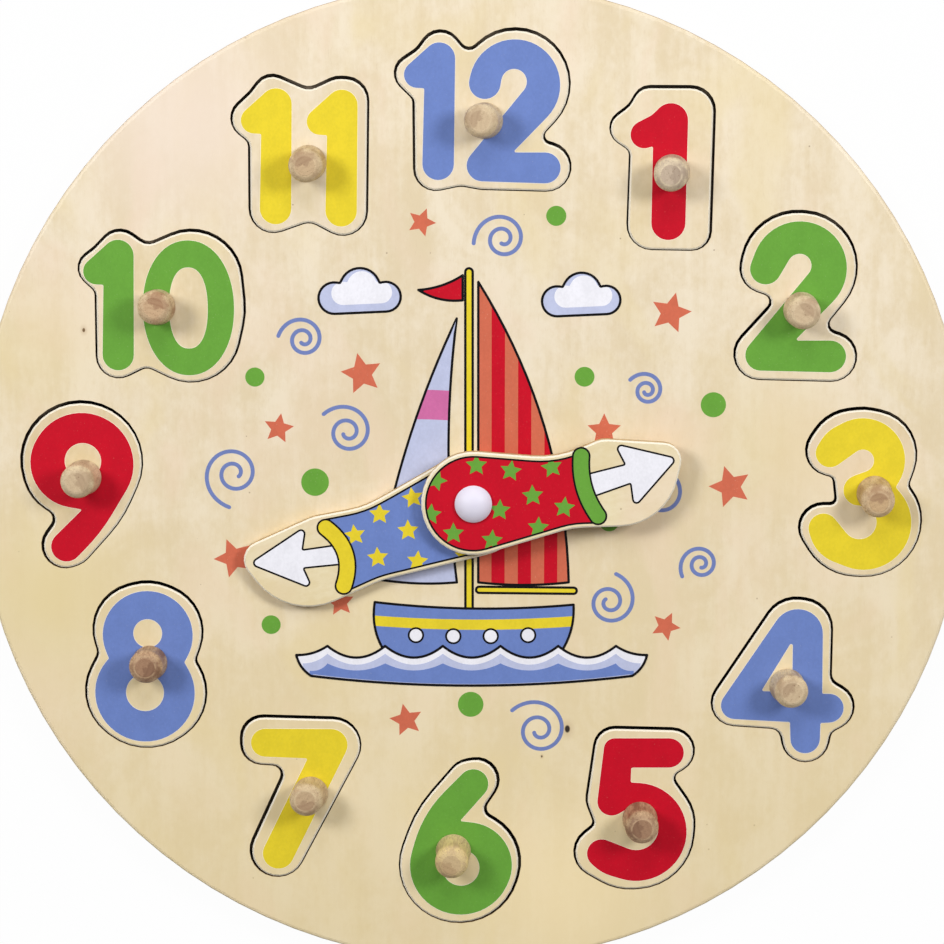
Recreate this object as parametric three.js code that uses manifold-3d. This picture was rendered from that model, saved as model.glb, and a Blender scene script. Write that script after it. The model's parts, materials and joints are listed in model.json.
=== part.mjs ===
// A wooden clock puzzle: a round two-layer plywood board with twelve number-shaped tiles
// that nest in matching recesses, a wooden knob on each tile, and two hands on a rivet.
// Millimetres, +Z up and out of the printed face, +Y towards the twelve, +X towards the
// three. The origin is the middle of the board's underside.

import * as THREE from 'three';
import { mergeVertices } from 'three/addons/utils/BufferGeometryUtils.js';
import Module from 'manifold-3d';

const wasm = await Module();
wasm.setup();

// Board: a thin back sheet closes the recesses that are sawn right through the front sheet.
const boardDiameter = 300;
const backThickness = 3;
const frontThickness = 6;
const boardEdgeRound = 1.2;

// Number tiles.
const tileHeight = 50;
const tileThickness = 6.5;
const tileEdgeBevel = 0.5;

// The saw cut between a tile and its recess, and the least that is left of it on the
// side that a loose tile leans to.
const sawCut = 0.7;
const tightestCut = 0.3;

// Knobs: a short tapered peg whose shoulder is rounded over up to a small flat crown, and a
// tenon glued into the tile.
const knobHeight = 12.5;
const knobBaseRadius = 5.4;
const knobShoulderRadius = 5.1;
const knobShoulderRound = 3.4;
const knobCrownRadius = 3.1;
const knobTenonRadius = 3;
const knobTenonLength = 4;
const tenonGap = 0.3;

// Hands, measured from the pivot to the tip. The minute hand lies under the hour hand.
const hourHandReach = 63.7;
const minuteHandReach = 71.9;
const handThickness = 4;
const handEdgeBevel = 0.5;
const hourHandAngle = 9.1;
const minuteHandAngle = 195.2;

// Pivot: a domed rivet pin pushed into a flanged socket, a little below the middle.
const pivotAcross = 0.5;
const pivotUp = -5;
const capRadius = 5.6;
const capDome = 2.6;
const capRim = 0.6;
const journalRadius = 3.6;
const stemRadius = 2.4;
const stemLength = 6.4;
const socketWall = 1.4;
const flangeRadius = 8;
const flangeThickness = 1.2;
const flangeRecess = 1.6;

// Gaps between the loose pieces of the pivot.
const runningGap = 0.3;
const journalGap = 0.2;
const stemGap = 0.15;
const socketGap = 0.2;

// How far a flat facet may lie inside the round form that it stands for.
const chordError = 0.08;
const cutOverrun = 1;

// Values worked out from the sizes above.
const boardRadius = boardDiameter / 2;
const boardTop = backThickness + frontThickness;
const minuteHandFoot = boardTop + runningGap;
const hourHandFoot = minuteHandFoot + handThickness + runningGap;
const capFoot = hourHandFoot + handThickness + runningGap;
const socketBoreRadius = stemRadius + stemGap;
const socketRadius = socketBoreRadius + socketWall;
const socketHoleRadius = socketRadius + socketGap;

// Every outline is a belt drawn tight round a row of rollers, counter-clockwise. A roller
// is [across, up, radius, side]: the belt swells round a bulge and sinks round a dip.
const bulge = 1;
const dip = -1;

// One entry for each tile. The place is a share of the board's radius, and where a tile
// leans in its recess is a share of its play. A knob slants by a share of its own height,
// as it was glued in by hand. The rest are shares of the tile's height.
const tileShares = [
  {
    number: '01', placeShare: [0.380, 0.633], leanShare: [-0.4, -0.9], knobShare: [0.058, -0.016],
    slantShare: [-0.09, -0.01],
    rollerShares: [
      [0.164, 0.343, 0.144, bulge], [-0.080, 0.388, 0.100, bulge], [-0.308, 0.472, 0.140, dip],
      [-0.212, 0.242, 0.102, bulge], [-0.246, 0.082, 0.050, dip], [-0.058, -0.332, 0.150, bulge],
      [0.178, -0.372, 0.114, bulge],
    ],
  },
  {
    number: '02', placeShare: [0.647, 0.377], leanShare: [0.1, -0.9], knobShare: [0.036, -0.070],
    slantShare: [-0.03, 0.01],
    rollerShares: [
      [0.032, 0.178, 0.336, bulge], [0.008, 0.182, 0.334, bulge], [-0.182, 0.176, 0.149, bulge],
      [-0.196, -0.028, 0.048, dip], [-0.206, -0.342, 0.155, bulge], [0.226, -0.360, 0.148, bulge],
      [0.252, -0.162, 0.048, dip],
    ],
  },
  {
    number: '03', placeShare: [0.787, -0.017], leanShare: [0.3, -0.9], knobShare: [0.074, -0.002],
    slantShare: [-0.01, -0.08],
    rollerShares: [
      [0.048, 0.222, 0.280, bulge], [-0.004, 0.200, 0.312, bulge], [-0.056, 0.230, 0.276, bulge],
      [-0.186, 0.254, 0.154, bulge], [-0.204, 0.064, 0.034, dip], [-0.190, -0.038, 0.032, dip],
      [-0.230, -0.216, 0.146, bulge], [-0.020, -0.170, 0.348, bulge], [0.024, -0.180, 0.340, bulge],
      [0.060, -0.174, 0.304, bulge], [0.328, 0.046, 0.042, dip],
    ],
  },
  {
    number: '04', placeShare: [0.633, -0.403], leanShare: [0, -0.9], knobShare: [0.026, -0.034],
    slantShare: [0.04, 0.04],
    rollerShares: [
      [0.108, 0.312, 0.190, bulge], [0.076, 0.304, 0.202, bulge], [-0.288, -0.146, 0.144, bulge],
      [-0.068, -0.372, 0.066, dip], [0.146, -0.372, 0.144, bulge], [0.350, -0.368, 0.056, dip],
      [0.296, -0.172, 0.142, bulge], [0.362, 0.032, 0.067, dip],
    ],
  },
  {
    number: '05', placeShare: [0.333, -0.673], leanShare: [0.1, -0.8], knobShare: [0.034, -0.058],
    slantShare: [0.01, -0.01],
    rollerShares: [
      [0.226, 0.364, 0.138, bulge], [-0.122, 0.384, 0.127, bulge], [-0.156, 0.062, 0.138, bulge],
      [-0.292, -0.084, 0.041, dip], [-0.208, -0.274, 0.159, bulge], [-0.022, -0.152, 0.358, bulge],
      [0.008, -0.148, 0.360, bulge], [0.076, -0.098, 0.296, bulge], [0.290, 0.190, 0.044, dip],
    ],
  },
  {
    number: '06', placeShare: [-0.020, -0.740], leanShare: [-0.6, -0.7], knobShare: [-0.048, -0.062],
    slantShare: [-0.045, -0.08],
    rollerShares: [
      [0.090, 0.380, 0.136, bulge], [0.056, 0.364, 0.146, bulge], [0.424, -0.212, 0.800, bulge],
      [-0.016, -0.156, 0.367, bulge], [0.042, -0.136, 0.317, bulge], [0.200, 0.202, 0.054, dip],
    ],
  },
  {
    number: '07', placeShare: [-0.350, -0.647], leanShare: [0.5, -0.8], knobShare: [0.058, 0.022],
    slantShare: [-0.085, 0.06],
    rollerShares: [
      [0.196, 0.320, 0.172, bulge], [-0.228, 0.368, 0.136, bulge], [-0.236, 0.328, 0.128, bulge],
      [-0.176, 0.136, 0.060, dip], [-0.146, -0.342, 0.166, bulge],
    ],
  },
  {
    number: '08', placeShare: [-0.660, -0.373], leanShare: [0, -0.8], knobShare: [0.016, 0.018],
    slantShare: [-0.02, 0.09],
    rollerShares: [
      [0.006, 0.188, 0.328, bulge], [-0.036, 0.216, 0.290, bulge], [-0.360, 0.080, 0.060, dip],
      [-0.050, -0.164, 0.328, bulge], [-0.008, -0.154, 0.362, bulge], [0.034, -0.170, 0.324, bulge],
      [0.340, 0.032, 0.042, dip], [0.046, 0.208, 0.294, bulge],
    ],
  },
  {
    number: '09', placeShare: [-0.787, 0], leanShare: [0.5, -0.8], knobShare: [0.010, 0.044],
    slantShare: [-0.07, 0.02],
    rollerShares: [
      [0.002, 0.134, 0.366, bulge], [-0.066, 0.088, 0.288, bulge], [-0.234, -0.218, 0.060, dip],
      [-0.108, -0.380, 0.138, bulge], [-0.082, -0.360, 0.148, bulge], [-0.434, 0.224, 0.800, bulge],
    ],
  },
  {
    number: '10', placeShare: [-0.623, 0.360], leanShare: [-0.2, -0.8], knobShare: [-0.014, -0.004],
    slantShare: [0, 0.08],
    rollerShares: [
      [0.190, 0.150, 0.304, bulge], [-0.064, 0.462, 0.083, dip], [-0.236, 0.328, 0.126, bulge],
      [-0.472, 0.438, 0.120, dip], [-0.384, 0.224, 0.104, bulge], [-0.438, 0.064, 0.050, dip],
      [-0.256, -0.304, 0.132, bulge], [-0.086, -0.450, 0.074, dip], [0.178, -0.162, 0.300, bulge],
      [0.010, -0.010, 0.498, bulge],
    ],
  },
  {
    number: '11', placeShare: [-0.343, 0.660], leanShare: [0, -0.9], knobShare: [0.056, -0.042],
    slantShare: [-0.04, -0.02],
    rollerShares: [
      [0.278, 0.324, 0.136, bulge], [0.246, 0.330, 0.132, bulge], [0.060, 0.500, 0.100, dip],
      [-0.156, 0.360, 0.114, bulge], [-0.364, 0.441, 0.100, dip], [-0.284, 0.218, 0.118, bulge],
      [-0.358, 0.050, 0.060, dip], [-0.156, -0.318, 0.143, bulge], [0.054, -0.502, 0.100, dip],
      [0.258, -0.332, 0.146, bulge],
    ],
  },
  {
    number: '12', placeShare: [0.020, 0.750], leanShare: [0.2, -0.9], knobShare: [0.018, -0.060],
    slantShare: [-0.12, 0.03],
    rollerShares: [
      [0.198, 0.152, 0.325, bulge], [-0.076, 0.420, 0.058, dip], [-0.246, 0.344, 0.121, bulge],
      [-0.444, 0.418, 0.082, dip], [-0.410, 0.214, 0.107, bulge], [-0.454, 0.042, 0.047, dip],
      [-0.274, -0.350, 0.130, bulge], [-0.124, -0.574, 0.120, dip], [0.010, -0.330, 0.144, bulge],
      [0.386, -0.340, 0.144, bulge], [0.410, -0.156, 0.040, dip],
    ],
  },
];

// Hands point along +X from their pivot, in shares of their reach: a round end, a drawn-in
// sleeve and a broad rounded tip.
const hourHandShares = [
  [0.446, -0.589, 0.397, dip], [0.703, 0.063, 0.283, bulge], [0.915, 0.060, 0.085, bulge],
  [0.645, 0.082, 0.122, bulge], [0.419, 0.636, 0.471, dip], [0, 0, 0.246, bulge],
];
const minuteHandShares = [
  [0.364, -0.295, 0.172, dip], [0.487, -0.517, 0.417, dip], [0.665, -0.004, 0.108, bulge],
  [0.921, 0.008, 0.079, bulge], [0.718, -0.014, 0.275, bulge], [0.431, 0.640, 0.417, dip],
  [0, 0.014, 0.220, bulge],
];

// Belt outlines

function scaledRollers(rollerShares, scale) {
  return rollerShares.map(([x, y, radius, side]) => ({
    x: x * scale,
    y: y * scale,
    radius: radius * scale,
    side,
  }));
}

// The direction, from a roller's centre, of the point where the belt leaves it.
function leavingAngle(from, to) {
  const travel = Math.atan2(to.y - from.y, to.x - from.x);
  const distance = Math.hypot(to.x - from.x, to.y - from.y);
  const lean = (from.side * from.radius - to.side * to.radius) / distance;
  return travel - Math.acos(lean);
}

function facetAngle(radius) {
  return 2 * Math.acos(1 - chordError / radius);
}

function turnBetween(start, end, side) {
  const fullTurn = 2 * Math.PI;
  const turn = (((end - start) * side) % fullTurn + fullTurn) % fullTurn;
  return turn * side;
}

// The outline at an offset: a grown one lies outside the belt and a shrunk one inside it.
// Every offset of the same rollers has the same number of points, one for one.
function beltOutline(rollers, offset) {
  const leaving = rollers.map((roller, i) => leavingAngle(roller, rollers[(i + 1) % rollers.length]));
  return rollers.flatMap((roller, i) => {
    const start = leaving.at(i - 1);
    const turn = turnBetween(start, leaving[i], roller.side);
    const steps = Math.max(1, Math.ceil(Math.abs(turn) / facetAngle(roller.radius)));
    const reach = roller.side * roller.radius + offset;
    return Array.from({ length: steps + 1 }, (_, step) => {
      const angle = start + (turn * step) / steps;
      return new THREE.Vector2(roller.x + reach * Math.cos(angle), roller.y + reach * Math.sin(angle));
    });
  });
}

// Closed solids

// A solid with vertical and bevelled walls from outlines of equal point count, bottom first.
function layeredSolid(layers) {
  const count = layers[0].outline.length;
  const positions = layers.flatMap(({ outline, z }) => outline.flatMap((point) => [point.x, point.y, z]));
  const cap = THREE.ShapeUtils.triangulateShape(layers[0].outline, []);
  const topStart = count * (layers.length - 1);
  const faces = cap.flatMap(([a, b, c]) => [a, c, b, topStart + a, topStart + b, topStart + c]);
  for (let start = 0; start < topStart; start += count) {
    for (let i = 0; i < count; i += 1) {
      const low = start + i;
      const lowNext = start + ((i + 1) % count);
      faces.push(low, lowNext, lowNext + count, low, lowNext + count, low + count);
    }
  }
  const geometry = new THREE.BufferGeometry();
  geometry.setAttribute('position', new THREE.Float32BufferAttribute(positions, 3));
  geometry.setIndex(faces);
  return geometry;
}

// A solid of revolution about Z from [radius, height] pairs, from its foot to its top.
function turnedSolid(profile, widestRadius) {
  const quarters = Math.ceil(Math.PI / facetAngle(widestRadius) / 2);
  const points = profile.map(([radius, height]) => new THREE.Vector2(radius, height));
  const geometry = new THREE.LatheGeometry(points, 4 * quarters);
  geometry.rotateX(Math.PI / 2);
  return geometry;
}

// Points of a round in a profile, from one angle to the other.
function roundedEdge(centreRadius, centreHeight, roundRadius, fromAngle, toAngle, steps) {
  return Array.from({ length: steps + 1 }, (_, step) => {
    const angle = fromAngle + ((toAngle - fromAngle) * step) / steps;
    return [centreRadius + roundRadius * Math.cos(angle), centreHeight + roundRadius * Math.sin(angle)];
  });
}

function plug(radius, foot, top) {
  return turnedSolid([[0, foot], [radius, foot], [radius, top], [0, top]], radius);
}

function toManifold(geometry) {
  const bare = geometry.clone();
  bare.deleteAttribute('normal');
  bare.deleteAttribute('uv');
  const merged = mergeVertices(bare);
  return new wasm.Manifold(new wasm.Mesh({
    numProp: 3,
    vertProperties: new Float32Array(merged.attributes.position.array),
    triVerts: new Uint32Array(merged.index.array),
  }));
}

function cutAway(geometry, cutters) {
  let solid = toManifold(geometry);
  for (const cutter of cutters) {
    solid = solid.subtract(toManifold(cutter));
  }
  const { vertProperties, triVerts } = solid.getMesh();
  const cut = new THREE.BufferGeometry();
  cut.setAttribute('position', new THREE.BufferAttribute(vertProperties, 3));
  cut.setIndex(new THREE.BufferAttribute(triVerts, 1));
  return cut;
}

// Materials

function finish(color, roughness) {
  return new THREE.MeshStandardMaterial({ color, roughness, metalness: 0, flatShading: true });
}

const edgeSteps = 3;
const quarterTurn = Math.PI / 2;

// Back sheet: a plain disc with its lower edge eased, bored for the socket and its flange.
function makeBackSheet() {
  const disc = turnedSolid([
    [0, 0],
    ...roundedEdge(boardRadius - boardEdgeRound, boardEdgeRound, boardEdgeRound, -quarterTurn, 0, edgeSteps),
    [boardRadius, backThickness],
    [0, backThickness],
  ], boardRadius);
  const bore = plug(socketHoleRadius, -cutOverrun, backThickness + cutOverrun);
  const flangeSeat = plug(flangeRadius + socketGap, -cutOverrun, flangeRecess);
  for (const cutter of [bore, flangeSeat]) {
    cutter.translate(pivotAcross, pivotUp, 0);
  }
  const mesh = new THREE.Mesh(cutAway(disc, [bore, flangeSeat]), finish(0xe3cfa6, 0.7));
  mesh.name = 'board_back';
  return mesh;
}

// A tile's rollers, in millimetres about the tile's own place, and that place on the board.
function tileRollers(tile) {
  return scaledRollers(tile.rollerShares, tileHeight);
}

function tilePlace(tile) {
  return new THREE.Vector2(...tile.placeShare).multiplyScalar(boardRadius);
}

// Front sheet: the printed face, sawn right through in the outline of every number.
function makeFrontSheet() {
  const disc = turnedSolid([
    [0, backThickness],
    [boardRadius, backThickness],
    ...roundedEdge(
      boardRadius - boardEdgeRound, boardTop - boardEdgeRound, boardEdgeRound, 0, quarterTurn, edgeSteps),
    [0, boardTop],
  ], boardRadius);
  const recesses = tileShares.map((tile) => {
    const outline = beltOutline(tileRollers(tile), sawCut / 2);
    const recess = layeredSolid([
      { outline, z: backThickness - cutOverrun },
      { outline, z: boardTop + cutOverrun },
    ]);
    return recess.translate(...tilePlace(tile).toArray(), 0);
  });
  const bore = plug(socketHoleRadius, backThickness - cutOverrun, boardTop + cutOverrun);
  bore.translate(pivotAcross, pivotUp, 0);
  const mesh = new THREE.Mesh(cutAway(disc, [...recesses, bore]), finish(0xebdab9, 0.55));
  mesh.name = 'board_top';
  return mesh;
}

// Number tile: its own side of the saw cut, with the upper edge bevelled, and a blind hole
// for the knob's tenon. It lies on the back sheet.
function makeTile(tile) {
  const rollers = tileRollers(tile);
  const wall = beltOutline(rollers, -sawCut / 2);
  const face = beltOutline(rollers, -sawCut / 2 - tileEdgeBevel);
  const body = layeredSolid([
    { outline: wall, z: 0 },
    { outline: wall, z: tileThickness - tileEdgeBevel },
    { outline: face, z: tileThickness },
  ]);
  const holeFoot = tileThickness - knobTenonLength - tenonGap;
  const hole = plug(knobTenonRadius + tenonGap, holeFoot, tileThickness + cutOverrun);
  hole.translate(tile.knobShare[0] * tileHeight, tile.knobShare[1] * tileHeight, 0);
  const mesh = new THREE.Mesh(cutAway(body, [hole]), finish(0xe9d6b0, 0.55));
  mesh.name = `tile_${tile.number}`;
  return mesh;
}

// Pushes all that stands above the foot sideways, by a share of its height there.
function slanted(geometry, [acrossShare, upShare]) {
  const points = geometry.attributes.position;
  for (let i = 0; i < points.count; i += 1) {
    const height = Math.max(0, points.getZ(i));
    points.setXY(i, points.getX(i) + acrossShare * height, points.getY(i) + upShare * height);
  }
  return geometry;
}

// Knob: a turned peg that stands on the tile's face by its base, with a crisp rim round its
// crown. Its tenon stands upright in the tile, however the peg slants.
function makeKnob(tile) {
  const roundCentre = knobShoulderRadius - knobShoulderRound;
  const roundSpan = Math.acos((knobCrownRadius - roundCentre) / knobShoulderRound);
  const shoulder = knobHeight - knobShoulderRound * Math.sin(roundSpan);
  const peg = turnedSolid([
    [0, -knobTenonLength],
    [knobTenonRadius, -knobTenonLength],
    [knobTenonRadius, 0],
    [knobBaseRadius, 0],
    ...roundedEdge(roundCentre, shoulder, knobShoulderRound, 0, roundSpan, edgeSteps),
    [0, knobHeight],
  ], knobBaseRadius);
  const mesh = new THREE.Mesh(slanted(peg, tile.slantShare), finish(0xc9a27c, 0.6));
  mesh.name = `knob_${tile.number}`;
  mesh.position.set(tile.knobShare[0] * tileHeight, tile.knobShare[1] * tileHeight, tileThickness);
  return mesh;
}

function makeTileWithKnob(tile) {
  const play = sawCut - tightestCut;
  const place = tilePlace(tile);
  const group = new THREE.Group();
  group.add(makeTile(tile), makeKnob(tile));
  group.position.set(place.x + tile.leanShare[0] * play, place.y + tile.leanShare[1] * play, backThickness);
  return group;
}

// Hand: a flat pointer with both edges bevelled, bored to turn on the rivet pin.
function makeHand(name, rollerShares, reach, foot, angle) {
  const rollers = scaledRollers(rollerShares, reach);
  const face = beltOutline(rollers, -handEdgeBevel);
  const wall = beltOutline(rollers, 0);
  const blank = layeredSolid([
    { outline: face, z: 0 },
    { outline: wall, z: handEdgeBevel },
    { outline: wall, z: handThickness - handEdgeBevel },
    { outline: face, z: handThickness },
  ]);
  const bore = plug(journalRadius + journalGap, -cutOverrun, handThickness + cutOverrun);
  const mesh = new THREE.Mesh(cutAway(blank, [bore]), finish(0xe9d3ab, 0.5));
  mesh.name = name;
  mesh.position.set(pivotAcross, pivotUp, foot);
  mesh.rotation.z = THREE.MathUtils.degToRad(angle);
  return mesh;
}

// Rivet pin: a domed cap, a journal that carries both hands and stands on the socket's rim,
// and a thinner stem held in the socket.
function makePivotPin() {
  const domeSteps = 5;
  const domeRadius = (capRadius ** 2 + capDome ** 2) / (2 * capDome);
  const domeSpan = Math.asin(capRadius / domeRadius);
  const domeCentre = capFoot + capRim + capDome - domeRadius;
  const dome = roundedEdge(0, domeCentre, domeRadius, quarterTurn - domeSpan, quarterTurn, domeSteps);
  const crown = [0, domeCentre + domeRadius];
  const geometry = turnedSolid([
    [0, boardTop - stemLength],
    [stemRadius, boardTop - stemLength],
    [stemRadius, boardTop],
    [journalRadius, boardTop],
    [journalRadius, capFoot],
    [capRadius, capFoot],
    ...dome.slice(0, -1),
    crown,
  ], capRadius);
  const mesh = new THREE.Mesh(geometry, finish(0xe1dceb, 0.3));
  mesh.name = 'pivot_pin';
  mesh.position.set(pivotAcross, pivotUp, 0);
  return mesh;
}

// Rivet socket: a flange let into the back sheet, and a blind barrel up to the board's face.
function makePivotSocket() {
  const flangeFoot = flangeRecess - flangeThickness;
  const boreFoot = boardTop - stemLength - stemGap;
  const geometry = turnedSolid([
    [0, flangeFoot],
    [flangeRadius, flangeFoot],
    [flangeRadius, flangeRecess],
    [socketRadius, flangeRecess],
    [socketRadius, boardTop],
    [socketBoreRadius, boardTop],
    [socketBoreRadius, boreFoot],
    [0, boreFoot],
  ], flangeRadius);
  const mesh = new THREE.Mesh(geometry, finish(0xd8d4dc, 0.35));
  mesh.name = 'pivot_socket';
  mesh.position.set(pivotAcross, pivotUp, 0);
  return mesh;
}

const clockPuzzle = new THREE.Group();
clockPuzzle.add(
  makeBackSheet(),
  makeFrontSheet(),
  ...tileShares.map(makeTileWithKnob),
  makeHand('minute_hand', minuteHandShares, minuteHandReach, minuteHandFoot, minuteHandAngle),
  makeHand('hour_hand', hourHandShares, hourHandReach, hourHandFoot, hourHandAngle),
  makePivotPin(),
  makePivotSocket(),
);

export default clockPuzzle;
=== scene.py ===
# %% [markdown]
# # A wooden clock puzzle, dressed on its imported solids
# The real toy is a round plywood board with a printed face. Twelve number-shaped tiles lift out
# of it by turned wooden knobs, and two wooden hands turn on a domed rivet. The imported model
# already has the sawn shapes, so this script gives them wood, ink and plastic, turns smooth
# knobs and a smooth rivet, and prints the numerals and the picture.

# %% Load the solids
import json
import math

import bpy
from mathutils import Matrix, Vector


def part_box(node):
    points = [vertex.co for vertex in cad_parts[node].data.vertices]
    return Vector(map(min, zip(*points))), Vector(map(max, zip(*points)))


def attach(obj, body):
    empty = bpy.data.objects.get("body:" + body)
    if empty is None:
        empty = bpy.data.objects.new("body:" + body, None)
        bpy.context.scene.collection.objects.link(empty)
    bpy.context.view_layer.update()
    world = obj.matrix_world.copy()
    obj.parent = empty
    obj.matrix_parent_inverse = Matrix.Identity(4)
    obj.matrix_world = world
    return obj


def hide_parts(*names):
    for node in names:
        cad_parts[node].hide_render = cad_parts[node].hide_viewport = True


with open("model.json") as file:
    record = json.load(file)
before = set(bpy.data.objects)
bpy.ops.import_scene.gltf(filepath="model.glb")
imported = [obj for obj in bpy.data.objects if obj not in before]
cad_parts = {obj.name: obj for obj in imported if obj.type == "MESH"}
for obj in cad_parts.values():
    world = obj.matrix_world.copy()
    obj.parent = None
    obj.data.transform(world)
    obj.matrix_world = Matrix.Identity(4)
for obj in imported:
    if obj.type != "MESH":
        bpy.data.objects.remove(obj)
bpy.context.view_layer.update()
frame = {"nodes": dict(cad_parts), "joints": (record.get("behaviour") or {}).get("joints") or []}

# %% [markdown]
# ## Sizes that come from the solids
# The board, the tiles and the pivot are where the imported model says. Reading their boxes keeps
# every print on the face that carries it. Blender works in metres, while a toy like this is
# drawn in millimetres, so all sizes below are millimetres and one value turns them to metres.

# %% Faces, pivot and knobs
mm = 0.001
same_height = 0.01
board_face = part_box("board_top")[1].z / mm
tile_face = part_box("tile_12")[1].z / mm
hand_faces = {name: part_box(name)[1].z / mm for name in ("minute_hand", "hour_hand")}
board_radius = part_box("board_top")[1].x / mm
pivot = [joint["pos_m"] for joint in frame["joints"] if joint["name"] == "hour_hand_turn"][0]
pivot_x, pivot_y = pivot[0] / mm, pivot[1] / mm
knob_names = sorted(name for name in frame["nodes"] if name.startswith("knob_"))


def ring_at(node, height):
    """The middle and the radius, in millimetres, of a turned solid's widest ring at a height."""
    ring = [corner.co / mm for corner in frame["nodes"][node].data.vertices
            if abs(corner.co.z / mm - height) < same_height]
    left, right = min(point.x for point in ring), max(point.x for point in ring)
    near, far = min(point.y for point in ring), max(point.y for point in ring)
    return (left + right) / 2, (near + far) / 2, (right - left) / 2


print("board face", round(board_face, 2), "tile face", round(tile_face, 2), "hands", hand_faces)

# %% [markdown]
# ## Picking up one piece
# Blender's operators act on all that is selected, and loading leaves the solids selected. Each
# step below therefore starts by taking up one piece alone. A finished piece has its place in
# its mesh, so that wood grain on Object coordinates runs on from one piece to the next.

# %% Selecting and settling
def take(piece):
    """Selects this piece and nothing else."""
    bpy.ops.object.select_all(action="DESELECT")
    piece.select_set(True)
    bpy.context.view_layer.objects.active = piece


def settle(piece):
    """Puts the piece's place, turn and size into its mesh."""
    take(piece)
    bpy.ops.object.transform_apply(location=True, rotation=True, scale=True)
    return piece


def joined(name, pieces):
    """Makes one object of several."""
    take(pieces[0])
    for piece in pieces:
        piece.select_set(True)
    bpy.ops.object.join()
    pieces[0].name = pieces[0].data.name = name
    return pieces[0]


def face_outwards():
    """Turns all faces of the mesh being edited outwards, and leaves edit mode."""
    bpy.ops.mesh.select_all(action="SELECT")
    bpy.ops.mesh.normals_make_consistent(inside=False)
    bpy.ops.object.mode_set(mode="OBJECT")


def dress(piece, finish):
    """Gives a piece, or a solid of the frame, one finish all over."""
    if not piece.material_slots:
        piece.data.materials.append(finish)
    for slot in piece.material_slots:
        slot.material = finish
    return piece


print("selected after loading", len(bpy.context.selected_objects))

# %% [markdown]
# ## Finishes as sums
# A finish is a small network of shader nodes. Wiring dozens of Math nodes by hand hides the
# idea, so one class wraps a node's output and turns plus, minus, times and divide into Math
# nodes. Every other node comes from one method that first sets the node up and then fills its
# sockets with numbers, colours or wires. A pattern is a noise, and a table of patterns has a
# row for each: its steps in millimetres across, along and up, an extra turn in degrees, then
# detail, roughness and distortion. The bare numbers from 0 to 1 in the recipes further down
# are thresholds of such a pattern, or shares of a mix.

# %% Wires and finishes
class Wire:
    """A node's output that can be used in a sum."""

    def __init__(self, finish, socket):
        self.finish, self.socket = finish, socket

    def worked(self, operation, *others):
        """What a Math node makes of this wire and the values after it."""
        return self.finish.node("Math", {"operation": operation}, dict(enumerate((self, *others))))

    def __add__(self, other):
        return self.worked("ADD", other)

    def __sub__(self, other):
        return self.worked("SUBTRACT", other)

    def __mul__(self, other):
        return self.worked("MULTIPLY", other)

    def __truediv__(self, other):
        return self.worked("DIVIDE", other)

    def __rsub__(self, other):
        return self.finish.node("Math", {"operation": "SUBTRACT"}, {0: other, 1: self})

    __radd__, __rmul__ = __add__, __mul__


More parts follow.
